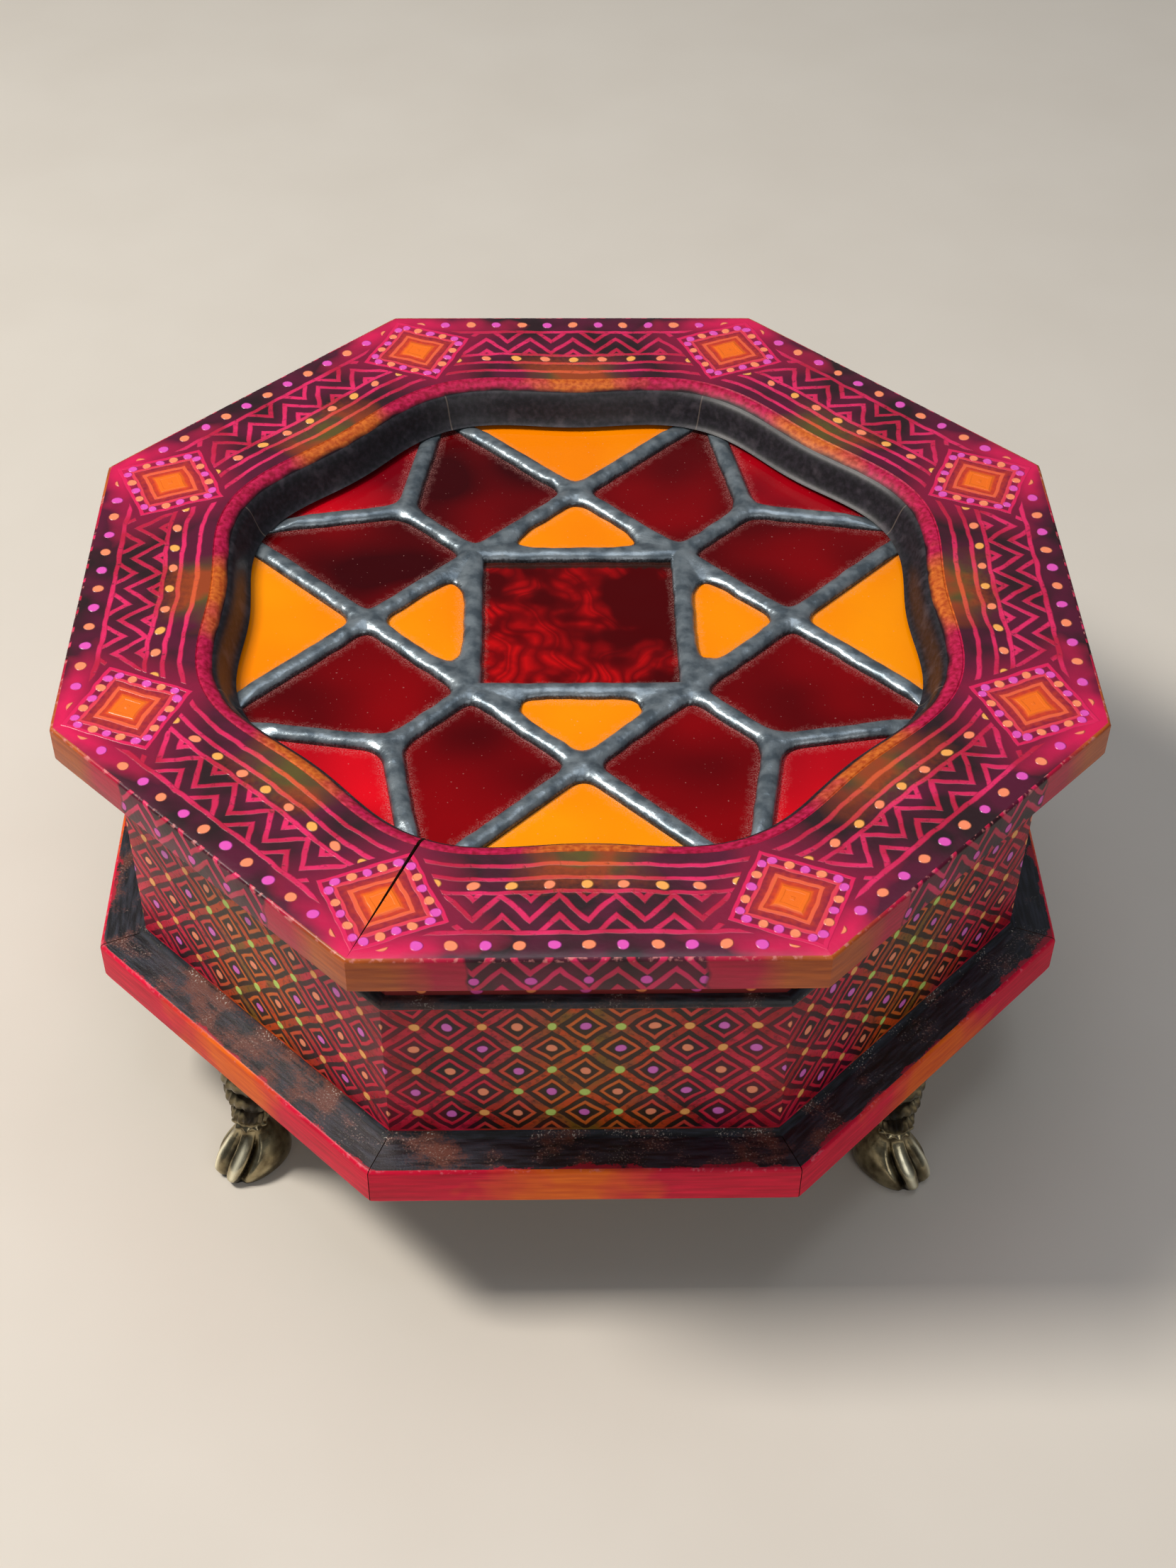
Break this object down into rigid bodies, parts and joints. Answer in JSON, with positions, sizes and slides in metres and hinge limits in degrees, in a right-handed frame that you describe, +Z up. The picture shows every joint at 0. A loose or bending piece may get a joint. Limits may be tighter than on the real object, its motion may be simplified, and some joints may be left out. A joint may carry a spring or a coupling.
{
  "type": "stained glass jewelry box",
  "caption": "Octagonal painted wooden jewelry box on claw feet, with a lift-off lid that frames a leaded panel of amber and ruby glass.",
  "frame": {"origin": "on the standing surface, under the middle of the box", "axes": "+Z up, -Y towards the front side; the box is the same towards each quarter turn about Z"},
  "size_m": [0.25, 0.25, 0.1263],
  "materials": {
    "frame_paint": "hand painted and varnished, satin",
    "rim_paint": "hand painted, satin",
    "wall_paint": "hand painted and varnished, satin",
    "base_stain": "black stained top with a painted edge, satin, worn",
    "bare_wood": "bare wood, matt",
    "amber_glass": "opalescent amber orange, glossy",
    "ruby_glass": "deep ruby, glossy",
    "cherry_glass": "bright red, glossy",
    "lead_came": "soldered lead with a dark patina",
    "antique_brass": "cast and antiqued, rubbed bright on the raised parts"
  },
  "bodies": {
    "root": {"wall_front": "wall_paint", "wall_front_right": "wall_paint", "wall_right": "wall_paint", "wall_back_right": "wall_paint", "wall_back": "wall_paint", "wall_back_left": "wall_paint", "wall_left": "wall_paint", "wall_front_left": "wall_paint", "base_moulding_front": "base_stain", "base_moulding_front_right": "base_stain", "base_moulding_right": "base_stain", "base_moulding_back_right": "base_stain", "base_moulding_back": "base_stain", "base_moulding_back_left": "base_stain", "base_moulding_left": "base_stain", "base_moulding_front_left": "base_stain", "bottom_panel": "bare_wood", "lid_frame_front": "frame_paint", "lid_frame_front_right": "frame_paint", "lid_frame_right": "frame_paint", "lid_frame_back_right": "frame_paint", "lid_frame_back": "frame_paint", "lid_frame_back_left": "frame_paint", "lid_frame_left": "frame_paint", "lid_frame_front_left": "frame_paint", "lid_rim_front": "rim_paint", "lid_rim_front_right": "rim_paint", "lid_rim_right": "rim_paint", "lid_rim_back_right": "rim_paint", "lid_rim_back": "rim_paint", "lid_rim_back_left": "rim_paint", "lid_rim_left": "rim_paint", "lid_rim_front_left": "rim_paint", "glass_centre": "ruby_glass", "glass_amber_inner_back": "amber_glass", "glass_amber_inner_left": "amber_glass", "glass_amber_inner_front": "amber_glass", "glass_amber_inner_right": "amber_glass", "glass_amber_outer_back": "amber_glass", "glass_amber_outer_left": "amber_glass", "glass_amber_outer_front": "amber_glass", "glass_amber_outer_right": "amber_glass", "glass_ruby_back_right_1": "ruby_glass", "glass_ruby_back_right_2": "ruby_glass", "glass_ruby_back_left_1": "ruby_glass", "glass_ruby_back_left_2": "ruby_glass", "glass_ruby_front_left_1": "ruby_glass", "glass_ruby_front_left_2": "ruby_glass", "glass_ruby_front_right_1": "ruby_glass", "glass_ruby_front_right_2": "ruby_glass", "glass_cherry_back_right": "cherry_glass", "glass_cherry_back_left": "cherry_glass", "glass_cherry_front_left": "cherry_glass", "glass_cherry_front_right": "cherry_glass", "lead_lattice": "lead_came", "claw_foot_front_right": "antique_brass", "claw_foot_back_right": "antique_brass", "claw_foot_back_left": "antique_brass", "claw_foot_front_left": "antique_brass"}
  },
  "joints": []
}
